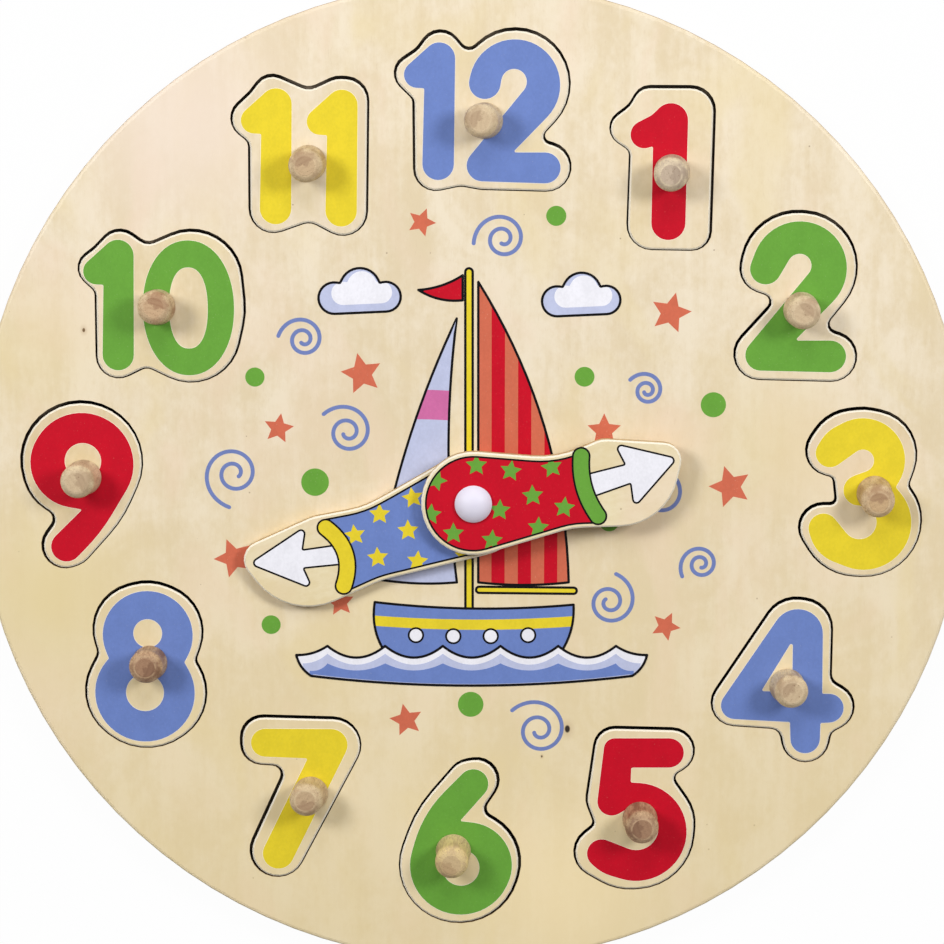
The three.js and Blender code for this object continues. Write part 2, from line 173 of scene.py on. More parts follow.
class Finish:
    """A material, or the world, whose nodes are made by one method."""

    def __init__(self, name, owner=None):
        self.owner = owner or bpy.data.materials.new(name)
        self.owner.use_nodes = True
        self.tree = self.owner.node_tree
        self.tree.nodes.clear()

    def node(self, kind, settings=None, sockets=None, out=0):
        node = self.tree.nodes.new("ShaderNode" + kind)
        for setting, value in (settings or {}).items():
            setattr(node, setting, value)
        for socket, value in (sockets or {}).items():
            if isinstance(value, Wire):
                self.tree.links.new(value.socket, node.inputs[socket])
            else:
                node.inputs[socket].default_value = value
        return Wire(self, node.outputs[out])

    def place(self, across=1.0, along=1.0, up=1.0, turn=0.0, middle=(0.0, 0.0)):
        """Object coordinates in steps of so many millimetres, turned in the board's plane."""
        here = self.node("TexCoord", out="Object")
        return self.node("Mapping", {"vector_type": "TEXTURE"}, {
            "Vector": here, "Location": (middle[0] * mm, middle[1] * mm, 0.0),
            "Rotation": (0.0, 0.0, math.radians(turn)),
            "Scale": (across * mm, along * mm, up * mm)})

    def noise(self, place, detail=3.0, roughness=0.55, distortion=0.0):
        return self.node("TexNoise", None, {
            "Vector": place, "Scale": 1.0, "Detail": detail, "Roughness": roughness,
            "Distortion": distortion})

    def patterns(self, table, turn=0.0, middle=(0.0, 0.0)):
        """One noise for each row of a table of patterns."""
        return {name: self.noise(self.place(*steps, turn + extra, middle), *kind)
                for name, (steps, extra, *kind) in table.items()}

    def between(self, value, start, full):
        """0 before the start and 1 past the full value, with a soft step."""
        return self.node("MapRange", {"interpolation_type": "SMOOTHSTEP"}, {
            "Value": value, "From Min": start, "From Max": full})

    def mix(self, first, second, share):
        return self.node("Mix", {"data_type": "RGBA"}, {0: share, 6: first, 7: second}, out=2)

    def stain(self, colour, second, value, start, full, share=1.0):
        """Lays a share of a second colour where a value goes from start to full."""
        return self.mix(colour, second, self.between(value, start, full) * share)

    def vector(self, operation, *values):
        return self.node("VectorMath", {"operation": operation}, dict(enumerate(values)))

    def length(self, vector):
        return self.node("VectorMath", {"operation": "LENGTH"}, {0: vector}, out="Value")

    def part(self, vector, axis="Z"):
        """One of a vector's three numbers."""
        return self.node("SeparateXYZ", None, {0: vector}, out=axis)

    def upward(self):
        """1 on faces that look up, 0 on upright ones and -1 on faces that look down."""
        return self.part(self.node("NewGeometry", out="Normal"))

    def wall(self, upright=0.15, level=0.55):
        """1 on upright faces and 0 on level ones."""
        return 1 - self.between(self.upward().worked("ABSOLUTE"), upright, level)

    def coat(self, colour, roughness, relief, depth, **fixed):
        """Ends the finish in one shader. The fixed values are the same all over."""
        bump = self.node("Bump", None, {"Height": relief, "Strength": 1.0, "Distance": depth * mm})
        sockets = {"Base Color": colour, "Roughness": roughness, "Normal": bump}
        sockets.update({name.replace("_", " "): value for name, value in fixed.items()})
        return self.end(self.node("BsdfPrincipled", None, sockets))

    def end(self, surface, kind="OutputMaterial"):
        """Leads the last shader to the output, and gives back what the finish belongs to."""
        output = self.tree.nodes.new("ShaderNode" + kind)
        self.tree.links.new(surface.socket, output.inputs["Surface"])
        return self.owner


def paint(red, green, blue, strength=1.0):
    """A colour as a printer's chart gives it, 0 to 255, made linear for the shader."""
    shares = (red / 255, green / 255, blue / 255)
    return tuple(strength * (s / 12.92 if s <= 0.04045 else ((s + 0.055) / 1.055) ** 2.4)
                 for s in shares) + (1.0,)


print("finish helpers ready; mid grey is", [round(c, 3) for c in paint(128, 128, 128)])

# %% [markdown]
# ## Plywood
# The board is light birch-like plywood under a clear satin varnish. Rotary-cut veneer has a
# quiet face: soft clouds of straw and of pale rose, broad faint bands from the twelve to the
# six, fine fibres, short pores and a few pin specks. Its edge shows the plies. Noise gives
# the clouds, the same noise pulled out along the grain gives bands and fibres, and the specks
# are the middles of some of the cells of a Voronoi pattern, so that they stay small and round.

# %% Veneer pattern
face_light = paint(239, 225, 200)
face_dark = paint(226, 208, 174)
face_rose = paint(238, 215, 190)
face_straw = paint(231, 212, 162)
face_warm = paint(240, 219, 165)
face_clear = paint(254, 233, 186)
face_blush = paint(241, 223, 206)
pore_brown = paint(176, 140, 96)
speck_brown = paint(112, 76, 44)
# This black is a knot's heart, and also painted shade deep in the saw cuts.
knot_and_shade_black = paint(12, 8, 6)
# This brown is the toast of cut walls, and also painted shade on the back sheet's upward face.
toast_and_shade_brown = paint(96, 66, 42)
ply_light = paint(222, 196, 150)
ply_dark = paint(170, 130, 84)
ply_thickness = 1.5
wood_gloss = {"Specular_IOR_Level": 0.25}
grain_depth = 0.02
speck_spacing, speck_size, speck_share = 14, 0.3, 0.22
veneer_patterns = {
    "fibres": ((1.8, 26, 30), 0, 5.0, 0.6), "bands": ((17, 120, 60), 0, 2.0, 0.55, 0.8),
    "clouds": ((21, 27, 30), 0, 4.0, 0.55, 0.8), "mottle": ((1.6, 2.4, 2), 0, 4.0),
    "tint": ((33, 58, 41), 8, 2.0, 0.55, 0.8), "pores": ((0.35, 2.2, 2), 0, 2.0),
}
tone_shares = {"fibres": 0.14, "bands": 0.3, "clouds": 0.38, "mottle": 0.18}
veneer_stains = (("tint", face_rose, 0.52, 0.72, 0.55), ("tint", face_straw, 0.48, 0.3, 0.45),
                 ("pores", pore_brown, 0.58, 0.78, 0.1))


def specks(finish):
    """Round specks, each as big as its own draw allows, in a share of a loose pattern's cells."""
    cells = finish.place(speck_spacing, speck_spacing, speck_spacing)
    settings, sockets = {"voronoi_dimensions": "2D"}, {"Vector": cells, "Scale": 1.0}
    away = finish.node("TexVoronoi", settings, sockets)
    draw = finish.part(finish.node("TexVoronoi", settings, sockets, "Color"), "X")
    reach = draw * (speck_size / speck_spacing / speck_share)
    return finish.between(away, reach * 1.4, reach * 0.4) * draw.worked("LESS_THAN", speck_share)


def veneer(finish, turn=0.0, light=face_light, dark=face_dark):
    """The varnished face of a sheet: its colour and the height of its grain."""
    seen = finish.patterns(veneer_patterns, turn)
    tone = sum(seen[name] * share for name, share in tone_shares.items())
    colour = finish.stain(light, dark, tone, 0.4, 0.6)
    for name, tint, start, full, share in veneer_stains:
        colour = finish.stain(colour, tint, seen[name], start, full, share)
    colour = finish.mix(colour, speck_brown, specks(finish) * 0.55)
    return colour, seen["fibres"] * 0.5 + seen["pores"] * 0.5


def plies(finish):
    """Bands of face grain and end grain on the edge of a glued-up sheet."""
    pairs = finish.part(finish.place()) / (2 * ply_thickness)
    band = finish.between(pairs.worked("FRACT"), 0.46, 0.54)
    fibres = finish.noise(finish.place(0.8, 0.8, 0.25))
    colour = finish.mix(ply_light, ply_dark, band * 0.8)
    return finish.stain(colour, pore_brown, fibres, 0.5, 0.75, 0.5)


def shaded_sawn_wall(finish, toasting, shade_from, shade_full):
    """The wall of a saw cut: toasted plies, which painted shade turns black between two depths."""
    depth = board_face - finish.part(finish.place())
    wall = finish.mix(plies(finish), toast_and_shade_brown, toasting)
    return finish.stain(wall, knot_and_shade_black, depth, shade_from, shade_full, 0.98)


print("veneer patterns", sorted(veneer_patterns))

# %% [markdown]
# ## Pin knots
# Three pin knots break the quiet face. One is nearly black and lies beside a printed curl near
# the six, a tiny one lies below that curl, and a soft brown dot sits beside the ten. Each is a
# distance from its place, turned into a dark heart and a soft ring. A row gives the place, the
# size and how dark the heart is, and heart and ring fade out over so many sizes. Knots run
# right through a sheet, so height plays no part.

# %% Knots
pin_knots = ((29.3, -76.1, 0.75, 0.96), (21.5, -84.7, 0.22, 0.85), (-116.6, 46.5, 0.4, 0.6))
knot_length_share = 1.45
knot_ring, knot_heart = (4.0, 0.8), (1.35, 0.75)
any_height = 1000


def pin_knot(finish, colour, across, along, size, heart):
    away = finish.length(finish.place(
        size, size * knot_length_share, any_height, middle=(across, along)))
    colour = finish.stain(colour, pore_brown, away, *knot_ring, 0.3)
    return finish.stain(colour, finish.mix(pore_brown, knot_and_shade_black, heart), away, *knot_heart)


print("pin knots", len(pin_knots))

# %% [markdown]
# ## The board's two sheets
# The front sheet carries the print, and its face turns warmer towards the six, with a broad
# rosy cloud beyond the eleven and clear and straw ones at the sides and below the six. The
# recess walls lie inside the rim, so a wall counts as sawn where its distance from the middle
# is less than the board's radius; painted shade turns a sawn wall black with depth, and the
# outer wall shows clean plies. The back sheet is plain and a little rougher, and painted
# shade browns its upward face, which is seen only down the recesses.

# %% Board finishes
rim_width = 1.5
warm_from, warm_share = 60, 0.55
# Toast share of the recess walls, then the depths below the board's face where painted shade begins
# and where it is full black.
recess_toast_and_shade = (0.45, 0.6, 2.6)
varnished, unvarnished = 0.42, 0.5
broad_clouds = ((-85, 110, 52, face_blush, 0.8), (-128, -34, 44, face_straw, 0.9),
                (92, 12, 36, face_straw, 0.5), (28, -128, 44, face_clear, 0.6),
                (-134, 40, 34, face_straw, 0.45))


def warmed(finish, colour, share):
    """Turns a face warmer from above its middle down to the six."""
    along = finish.part(finish.place(), "Y")
    return finish.stain(colour, face_warm, along, warm_from, -board_radius, share)


def board_finish(name, printed):
    finish = Finish(name)
    colour, relief = veneer(finish)
    colour = warmed(finish, colour, warm_share)
    if printed:
        for x, y, reach, tint, share in broad_clouds:
            far = finish.length(finish.place(reach, reach, any_height, middle=(x, y)))
            colour = finish.stain(colour, tint, far, 1, 0, share)
        for knot in pin_knots:
            colour = pin_knot(finish, colour, *knot)
        inner = shaded_sawn_wall(finish, *recess_toast_and_shade)
    else:
        # Painted shade: the back sheet's upward face, seen only down the recesses, is browned.
        colour = finish.stain(colour, toast_and_shade_brown, finish.upward(), 0.5, 0.9, 0.7)
        inner = ply_light
    away = finish.length(finish.place(up=any_height))
    edge = finish.stain(inner, plies(finish), away, board_radius - 2 * rim_width,
                        board_radius - rim_width)
    wall = finish.wall()
    roughness = wall * 0.3 + (varnished if printed else unvarnished)
    return finish.coat(finish.mix(colour, edge, wall), roughness, relief, grain_depth, **wood_gloss)


dress(frame["nodes"]["board_top"], board_finish("printed_plywood", True))
dress(frame["nodes"]["board_back"], board_finish("plain_plywood", False))
print("board sheets dressed")

# %% [markdown]
# ## Tiles and hands
# The tiles are sawn from the same kind of sheet as the board, so their grain runs on from the
# board's. Their faces come in three tones: plain, straw and clear. Their walls are toasted
# brown, turned black downwards by painted shade, and their eased edges are paler bare wood
# with a painted highlight all round each number. The hands are cut from a finer, paler sheet
# whose grain runs along each hand; their edges show clean plies and the same eased edges.

# %% Tile and hand finishes
# Paler bare wood on eased edges, made lighter still as a painted highlight.
bare_edge_and_highlight = paint(247, 238, 218)
# Toast share of the tiles' walls, then the depths below the board's face where painted shade begins
# and where it is full black.
tile_toast_and_shade = (0.8, -0.45, 0.3)
tile_tones = {
    "plain": (paint(236, 220, 190), paint(223, 204, 165), (1, 2, 4, 7, 8, 10)),
    "straw": (paint(230, 211, 177), paint(217, 195, 152), (3, 9)),
    "clear": (paint(239, 224, 200), paint(226, 208, 175), (5, 6, 11, 12)),
}
hand_turns = {"hour_hand": 9.1, "minute_hand": 195.2}
hand_light, hand_dark, hand_warm_share = paint(240, 227, 193), paint(228, 210, 167), 0.2


def sawn_finish(name, turn, edge_of, light, dark, warmth):
    finish = Finish(name)
    colour, relief = veneer(finish, turn, light, dark)
    colour = warmed(finish, colour, warmth)
    upward, wall = finish.upward(), finish.wall()
    # Eased edges take the paler bare wood and its painted highlight.
    eased_edge_highlight = finish.between(upward, 0.2, 0.5) - finish.between(upward, 0.8, 0.97)
    colour = finish.mix(finish.mix(colour, bare_edge_and_highlight, eased_edge_highlight), edge_of(finish), wall)
    return finish.coat(colour, wall * 0.25 + varnished, relief, grain_depth, **wood_gloss)


def shaded_tile_wall(finish):
    return shaded_sawn_wall(finish, *tile_toast_and_shade)


for tone, (light, dark, hours) in tile_tones.items():
    wood = sawn_finish(f"tile_wood_{tone}", 0.0, shaded_tile_wall, light, dark, warm_share)
    for hour in hours:
        dress(frame["nodes"][f"tile_{hour:02d}"], wood)
for hand, turn in hand_turns.items():
    wood = sawn_finish(f"{hand}_wood", turn - 90, plies, hand_light, hand_dark, hand_warm_share)
    dress(frame["nodes"][hand], wood)
print("tiles dressed in", len(tile_tones), "tones, hands in", len(hand_turns))

# %% [markdown]
# ## A lathe in edit mode
# Knobs and rivets are turned parts. In Blender a turned part can be a spun profile, or a disc
# whose top face is extruded and resized again and again, as a turner works along the blank.
# The second way keeps one clean stack of rings and a closed skin, so it is used here.

# %% Turned pieces
def turned(name, middle, stations, sides=48, slant=(0.0, 0.0), crisp=35):
    """Extrudes a disc through stations of (height, radius), in millimetres. Above the tile's
    face the middle may slant, and edges sharper than the crisp angle stay sharp."""
    def centre(height):
        rise = max(0.0, height - tile_face)
        return Vector((middle[0] + slant[0] * rise, middle[1] + slant[1] * rise, height)) * mm

    height, radius = stations[0]
    bpy.ops.object.select_all(action="DESELECT")
    bpy.ops.mesh.primitive_circle_add(
        vertices=sides, radius=radius * mm, fill_type="NGON", location=centre(height))
    piece = bpy.context.object
    piece.name = piece.data.name = name
    bpy.ops.object.mode_set(mode="EDIT")
    bpy.ops.mesh.select_all(action="SELECT")
    for next_height, next_radius in stations[1:]:
        step = centre(next_height) - centre(height)
        bpy.ops.mesh.extrude_region_move(TRANSFORM_OT_translate={"value": step})
        size = next_radius / radius
        bpy.ops.transform.resize(value=(size, size, 1), center_override=centre(next_height))
        height, radius = next_height, next_radius
    face_outwards()
    settle(piece)
    bpy.ops.object.shade_smooth_by_angle(angle=math.radians(crisp))
    return piece


print("lathe ready, slants begin at", round(tile_face, 2))

# %% [markdown]
# ## Knobs
# Each knob is a short dowel with a slight taper and a barely drawn-in waist. Its shoulder is
# rounded over in one arc that stops at a crisp rim round a small flat crown, and its tenon is
# glued into the tile. Foot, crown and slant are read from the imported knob, and the crown's size
# differs a hair from knob to knob, because the rims are sanded by hand.

# %% Turn the knobs
tenon_radius, tenon_length = 3.0, 4.0
foot_chamfer = 0.3
shoulder_radius, shoulder_round, shoulder_steps = 5.1, 3.4, 9
waist_dip, waist_steps = 0.4, 7
rim_chamfer, rim_lean_share = 0.12, 0.4
crown_spread, crown_shuffle = 0.22, 2.4
knob_crisp = 17
knobs = {}


def knob_profile(top, foot_radius, crown_radius):
    """Stations from the tenon up over foot, waist, shoulder and rim to the crown."""
    round_middle = shoulder_radius - shoulder_round
    span = math.acos((crown_radius - round_middle) / shoulder_round)
    foot, shoulder = tile_face + foot_chamfer, top - shoulder_round * math.sin(span)
    stations = [(tile_face - tenon_length, tenon_radius), (tile_face, tenon_radius),
                (tile_face, foot_radius - foot_chamfer), (foot, foot_radius)]
    for step in range(1, waist_steps):
        share = step / waist_steps
        swell = (shoulder_radius - foot_radius) * share - waist_dip * math.sin(math.pi * share)
        stations.append((foot + (shoulder - foot) * share, foot_radius + swell))
    for step in range(shoulder_steps):
        angle = span * step / shoulder_steps
        stations.append((shoulder + shoulder_round * math.sin(angle),
                         round_middle + shoulder_round * math.cos(angle)))
    return stations + [(top - rim_chamfer, crown_radius + rim_chamfer * rim_lean_share),
                       (top, crown_radius - rim_chamfer)]


for index, node in enumerate(knob_names):
    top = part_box(node)[1].z / mm
    foot_x, foot_y, foot_radius = ring_at(node, tile_face)
    crown_x, crown_y, crown_radius = ring_at(node, top)
    rise = top - tile_face
    slant = ((crown_x - foot_x) / rise, (crown_y - foot_y) / rise)
    sanded_radius = crown_radius + crown_spread * math.sin(crown_shuffle * index)
    stations = knob_profile(top, foot_radius, sanded_radius)
    knob = turned(f"turned_{node}", (foot_x, foot_y), stations, slant=slant, crisp=knob_crisp)
    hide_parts(node)
    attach(knob, node.replace("knob", "tile"))
    knobs[node] = (knob, (crown_x, crown_y), crown_radius)
print("turned knobs", len(knobs))

# %% [markdown]
# ## Knob wood
# The side of a dowel shows straight grain along its length, while its crown is end grain:
# greyer and browner because it drinks the varnish, with faint arcs of the year rings and often
# two tones where heartwood meets sapwood. On some knobs a painted highlight, a paler band, runs
# round part of the crown's edge, and painted shade darkens the steep sides. Each knob is cut
# from another place in the rod, so the woods, the turn and the tones differ, and so does the
# painted highlight's share. A wood is three colours, for the side, the end grain and the heart.

# %% Dress the knobs
knob_woods = {
    "grey": ((224, 206, 174), (192, 172, 150), (160, 140, 122)),
    "pale": ((224, 204, 168), (206, 182, 148), (168, 140, 112)),
    "tan": ((222, 200, 160), (198, 170, 134), (156, 124, 96)),
    "honey": ((232, 209, 148), (204, 178, 136), (170, 140, 104)),
    "brown": ((204, 172, 136), (162, 126, 98), (120, 86, 66)),
    "split": ((220, 194, 154), (200, 168, 126), (150, 114, 86)),
    "streaked": ((222, 198, 160), (200, 168, 132), (146, 104, 76)),
}
# Each knob's wood, and the share of the painted highlight round its crown's edge.
knob_looks = {
    "knob_01": ("grey", 0.6), "knob_02": ("pale", 0.2), "knob_03": ("split", 0.4),
    "knob_04": ("pale", 0.3), "knob_05": ("brown", 0.6), "knob_06": ("honey", 0.1),
    "knob_07": ("tan", 0.5), "knob_08": ("brown", 0.5), "knob_09": ("pale", 0.0),
    "knob_10": ("streaked", 0.0), "knob_11": ("tan", 0.1), "knob_12": ("pale", 0.1),
}
knob_patterns = {
    "wander": ((2.6, 2.6, 9), 0, 3.0), "grain": ((0.8, 0.8, 14), 0, 5.0, 0.6),
    "patch": ((3.4, 3.4, 8), 0, 3.0), "fibres": ((0.3, 0.3, 5), 0, 4.0),
    "crown_highlight_patches": ((2.2, 2.2, 6), 40, 2.0),
}
rod_patterns = {"pores": ((0.3, 0.3, 3), 0, 3.0), "marks": ((0.5, 0.5, 1.2), 0, 1.0)}
pith = (-9.0, -2.0, 0.0)
ring_pitch, ring_wander = 4.2, 4.0
heart_from, heart_full, heart_wander = 3.2, 4.1, 7.0
# The painted highlight's band runs from inside the crown's rim to beyond it; then the crown's blur.
highlight_inside, highlight_edge, highlight_outside, crown_blur = 0.25, 0.05, 0.8, 0.4
knob_turn, knob_depth = 47, 0.05


def knob_wood(name, crown, turn, colours, crown_radius, rim):
    side_colour, end_colour, heart_colour = colours
    finish = Finish(name)
    seen = finish.patterns(knob_patterns, turn, crown) | finish.patterns(rod_patterns)
    local = finish.place(turn=turn, middle=crown)
    flat = finish.vector("MULTIPLY", local, (1.0, 1.0, 0.0))
    out = finish.length(flat)
    turns = finish.length(finish.vector("SUBTRACT", flat, pith)) * ring_pitch
    ring = finish.between((turns + seen["wander"] * ring_wander).worked("SINE"), -0.4, 0.95)
    heart = finish.between(finish.part(local, "X") + seen["wander"] * heart_wander,
                           heart_from, heart_full)
    end = finish.mix(end_colour, heart_colour, heart * 0.6 + ring * 0.14)
    end = finish.stain(end, heart_colour, seen["pores"], 0.5, 0.72, 0.5)
    streaks = seen["grain"] * 0.5 + seen["patch"] * 0.5
    side = finish.stain(side_colour, end_colour, streaks, 0.41, 0.61)
    side = finish.stain(side, heart_colour, seen["patch"], 0.35, 0.65, heart * 0.55)
    side = finish.stain(side, heart_colour, seen["fibres"], 0.5, 0.66, 0.5)
    upward = finish.upward()
    # Painted shade: steep sides are darkened towards the heart colour.
    side = finish.stain(side, heart_colour, upward, 0.4, 0.0, 0.15)
    on_crown = finish.between(out, crown_radius, crown_radius - crown_blur)
    colour = finish.mix(side, end, finish.between(upward, 0.55, 0.9) * 0.55 + on_crown * 0.4)
    # Painted highlight: a paler band round part of the crown's edge, in patches, as strong as the
    # rim share.
    band = (finish.between(out, crown_radius - highlight_inside, crown_radius)
            - finish.between(out, crown_radius + highlight_edge, crown_radius + highlight_outside))
    colour = finish.stain(colour, side_colour, seen["crown_highlight_patches"], 0.38, 0.6, band * rim)
    colour = finish.stain(colour, speck_brown, seen["marks"], 0.7, 0.76, 0.7)
    relief = ring * 0.4 + seen["pores"] * 0.6
    return finish.coat(colour, seen["grain"] * 0.15 + 0.45, relief, knob_depth, **wood_gloss)


for index, (node, (knob, crown, crown_radius)) in enumerate(knobs.items()):
    # rim is the share of the painted highlight round the crown's edge.
    wood, rim = knob_looks[node]
    colours = [paint(*colour) for colour in knob_woods[wood]]
    dress(knob, knob_wood(f"{node}_wood", crown, knob_turn * index, colours, crown_radius, rim))
print("knobs dressed")

# %% [markdown]
# ## The rivet
# The hands turn on a moulded rivet: a low white dome on a short rim, a journal that carries
# both hands, and a stem pushed into a socket from behind. The dome is smoother than the wood
# round it, so its rings lie close enough for an even highlight.

# %% Turn the rivet
pin_low, pin_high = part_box("pivot_pin")
pin_foot, pin_top = pin_low.z / mm, pin_high.z / mm
cap_radius = (pin_high.x - pin_low.x) / 2 / mm
cap_rim, cap_dome, cap_chamfer = 0.6, 2.6, 0.15
journal_radius, stem_radius, stem_lead = 3.6, 2.4, 0.4
cap_foot = pin_top - cap_dome - cap_rim
dome_radius = (cap_radius ** 2 + cap_dome ** 2) / (2 * cap_dome)
dome_span = math.asin(cap_radius / dome_radius)
dome_rings, dome_tip, rivet_sides = 14, 0.12, 64
dome = [(pin_top - dome_radius + dome_radius * math.cos(dome_span * (1 - ring / dome_rings)),
         dome_radius * math.sin(dome_span * (1 - ring / dome_rings)))
        for ring in range(dome_rings)]
rivet = turned("turned_rivet", (pivot_x, pivot_y), [
    (pin_foot, stem_radius - stem_lead), (pin_foot + stem_lead, stem_radius),
    (board_face, stem_radius), (board_face, journal_radius), (cap_foot, journal_radius),
    (cap_foot, cap_radius - cap_chamfer), (cap_foot + cap_chamfer, cap_radius), *dome,
    (pin_top, dome_tip)], rivet_sides)
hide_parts("pivot_pin")
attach(rivet, "board")

plastic_patterns = {"cloud": ((3, 3, 3), 0), "ripple": ((0.5, 0.5, 0.5), 0, 2.0)}
ripple_depth = 0.01


def plastic(name, colour, shade, roughness):
    """Moulded plastic: nearly even, with a faint cloudiness and a very fine ripple."""
    finish = Finish(name)
    seen = finish.patterns(plastic_patterns)
    tint = finish.mix(colour, shade, seen["cloud"] * 0.6)
    return finish.coat(tint, seen["cloud"] * 0.1 + roughness, seen["ripple"], ripple_depth)


dress(rivet, plastic("cap_plastic", paint(233, 229, 242), paint(220, 214, 234), 0.42))
dress(frame["nodes"]["pivot_socket"],
      plastic("socket_plastic", paint(226, 224, 232), paint(208, 206, 216), 0.35))
print("rivet turned, top", round(pin_top, 2))

# %% [markdown]
# ## Printing ink
# The print is screen ink, opaque and nearly even, laid on before the tiles are sawn out. Up
# close it is softly mottled, and pale specks of wood show where the ink missed a pore. Ink is
# less glossy than bare varnish, so its reflection is held low and the dark inks stay deep.
# Each ink is a film of real geometry, at most two tenths of a millimetre thick, so the print
# stays sharp from any distance. The chart gives an ink's colour, the share of its misses and,
# for the black, a lower gloss.

# %% Inks
ink_patterns = {"shade": ((5, 8, 5), 0, 4.0), "mottle": ((0.8, 1.1, 0.8), 0, 3.0),
                "missed": ((0.36, 0.44, 0.4), 0, 1.0)}
ink_contrast, ink_relief = 0.05, 0.01
ink_chart = {
    "blue": ((109, 132, 195), 0.2), "yellow": ((232, 209, 48), 0.1), "red": ((198, 9, 36), 0.1),
    "green": ((104, 162, 60), 0.2), "coral": ((209, 108, 81), 0.2),
    "lavender": ((192, 198, 227), 0.1), "pink": ((208, 110, 165), 0.15),
    "white": ((241, 240, 247), 0.0), "black": ((8, 7, 10), 0.02, 0.08),
    "spiral": ((114, 130, 186), 0.15), "cream": ((247, 237, 216), 0.0),
}


def ink(name, colour, misses, gloss=0.16):
    finish = Finish(f"ink_{name}")
    seen = finish.patterns(ink_patterns)
    tone = seen["shade"] * 0.55 + seen["mottle"] * 0.45
    tint = finish.stain(paint(*colour, 1 - ink_contrast), paint(*colour, 1 + ink_contrast),
                        tone, 0.34, 0.66)
    tint = finish.stain(tint, face_light, seen["missed"], 0.7, 0.8, misses)
    roughness = seen["mottle"] * 0.15 + 0.4
    return finish.coat(tint, roughness, seen["mottle"], ink_relief, Specular_IOR_Level=gloss)


inks = {name: ink(name, *look) for name, look in ink_chart.items()}
print("inks", sorted(inks))

# %% [markdown]
# ## From an outline to a film
# A flat filled curve is the simplest way to a shape with holes: the outer line and each inner
# line are splines of one curve. It is drawn in millimetres, turned into a mesh, merged, and
# only then sized to metres and lifted to its layer. Each layer lies a little above the last,
# and all of them start just under the wood's face, so no two surfaces lie in one plane.

# %% Films of ink
film_step, film_root = 0.02, 0.02
weld_distance = 0.001
stencil_layers, stencil_root = 40, 1


def film(name, outlines, layer, face, colour=None, root=film_root):
    """A closed film over the outlines, which are lists of (x, y) in millimetres."""
    foot, top = face - root, face + layer * film_step
    curve = bpy.data.curves.new(name, "CURVE")
    curve.dimensions, curve.fill_mode, curve.extrude = "2D", "BOTH", (top - foot) / 2
    for outline in outlines:
        spline = curve.splines.new("POLY")
        spline.points.add(len(outline) - 1)
        for point, (x, y) in zip(spline.points, outline):
            point.co = (x, y, 0.0, 1.0)
        spline.use_cyclic_u = True
    drawn = bpy.data.objects.new(name, curve)
    bpy.context.scene.collection.objects.link(drawn)
    take(drawn)
    bpy.ops.object.convert(target="MESH")
    piece = bpy.context.object
    bpy.ops.object.mode_set(mode="EDIT")
    bpy.ops.mesh.select_all(action="SELECT")
    bpy.ops.mesh.remove_doubles(threshold=weld_distance)
    face_outwards()
    piece.scale = (mm, mm, mm)
    piece.location.z = (foot + top) / 2 * mm
    settle(piece)
    piece.name = piece.data.name = name
    if colour:
        dress(piece, inks[colour])
    return piece


def clipped(piece, outline, face):
    """Keeps only what lies inside an outline, as the edge of a stencil does."""
    stencil = film(f"{piece.name}_stencil", [outline], stencil_layers, face, root=stencil_root)
    take(piece)
    cut = piece.modifiers.new("stencil", "BOOLEAN")
    cut.operation, cut.solver, cut.object = "INTERSECT", "EXACT", stencil
    bpy.ops.object.modifier_apply(modifier="stencil")
    bpy.data.objects.remove(stencil)


print("each ink layer rises by", film_step, "mm")

# %% [markdown]
# ## Outlines
# Rounded numerals are drawn as a belt pulled round rollers: each roller is a middle and a
# radius. The line bulges round a roller, and dips in where the radius is negative. Straight
# runs and round ends then meet without a kink, and a numeral needs only a handful of rollers.
# Sails, hull and waves use sides that bow out or in, and thin lines are two parallel outlines
# with round ends.

# %% Belts, bows and strokes
chord_error, least_radius = 0.03, 0.3
oval_steps, bow_steps, end_steps = 72, 18, 8
same_point, round_step, least_opening = 1e-4, 0.35, 0.15


def leaving_angle(first, second):
    """The direction, from a roller's middle, in which the belt leaves it for the next one."""
    (x1, y1, radius1), (x2, y2, radius2) = first, second
    gap = math.hypot(x2 - x1, y2 - y1)
    return math.atan2(y2 - y1, x2 - x1) - math.acos((radius1 - radius2) / gap)


def belt(rollers, offset=0.0):
    """A closed outline round rollers in counter-clockwise order, moved outwards by an offset."""
    leaving = [leaving_angle(*pair) for pair in zip(rollers, rollers[1:] + rollers[:1])]
    points = []
    for i, (x, y, radius) in enumerate(rollers):
        side, reach = math.copysign(1, radius), radius + offset
        turn = side * (side * (leaving[i] - leaving[i - 1]) % math.tau)
        widest = 2 * math.acos(1 - chord_error / max(abs(radius), least_radius))
        steps = max(1, math.ceil(abs(turn) / widest))
        for step in range(steps + 1):
            angle = leaving[i - 1] + turn * step / steps
            points.append((x + reach * math.cos(angle), y + reach * math.sin(angle)))
    return points


def oval(x, y, across, up, squareness=2.0, steps=oval_steps):
    """An ellipse, or with more squareness a rounder rectangle."""
    points = []
    for step in range(steps):
        angle = math.tau * step / steps
        c, s = math.cos(angle), math.sin(angle)
        size = (abs(c) ** squareness + abs(s) ** squareness) ** (-1 / squareness)
        points.append((x + across * c * size, y + up * s * size))
    return points


def bowed(corners):
    """A closed outline of (x, y, sag): the side from each corner bows outwards by its sag."""
    points = []
    for (x, y, sag), (x2, y2, _) in zip(corners, corners[1:] + corners[:1]):
        length = math.hypot(x2 - x, y2 - y)
        out_x, out_y = (y2 - y) / length, (x - x2) / length
        steps = bow_steps if sag else 1
        for step in range(steps):
            t = step / steps
            out = 4 * sag * t * (1 - t)
            points.append((x + (x2 - x) * t + out_x * out, y + (y2 - y) * t + out_y * out))
    return points


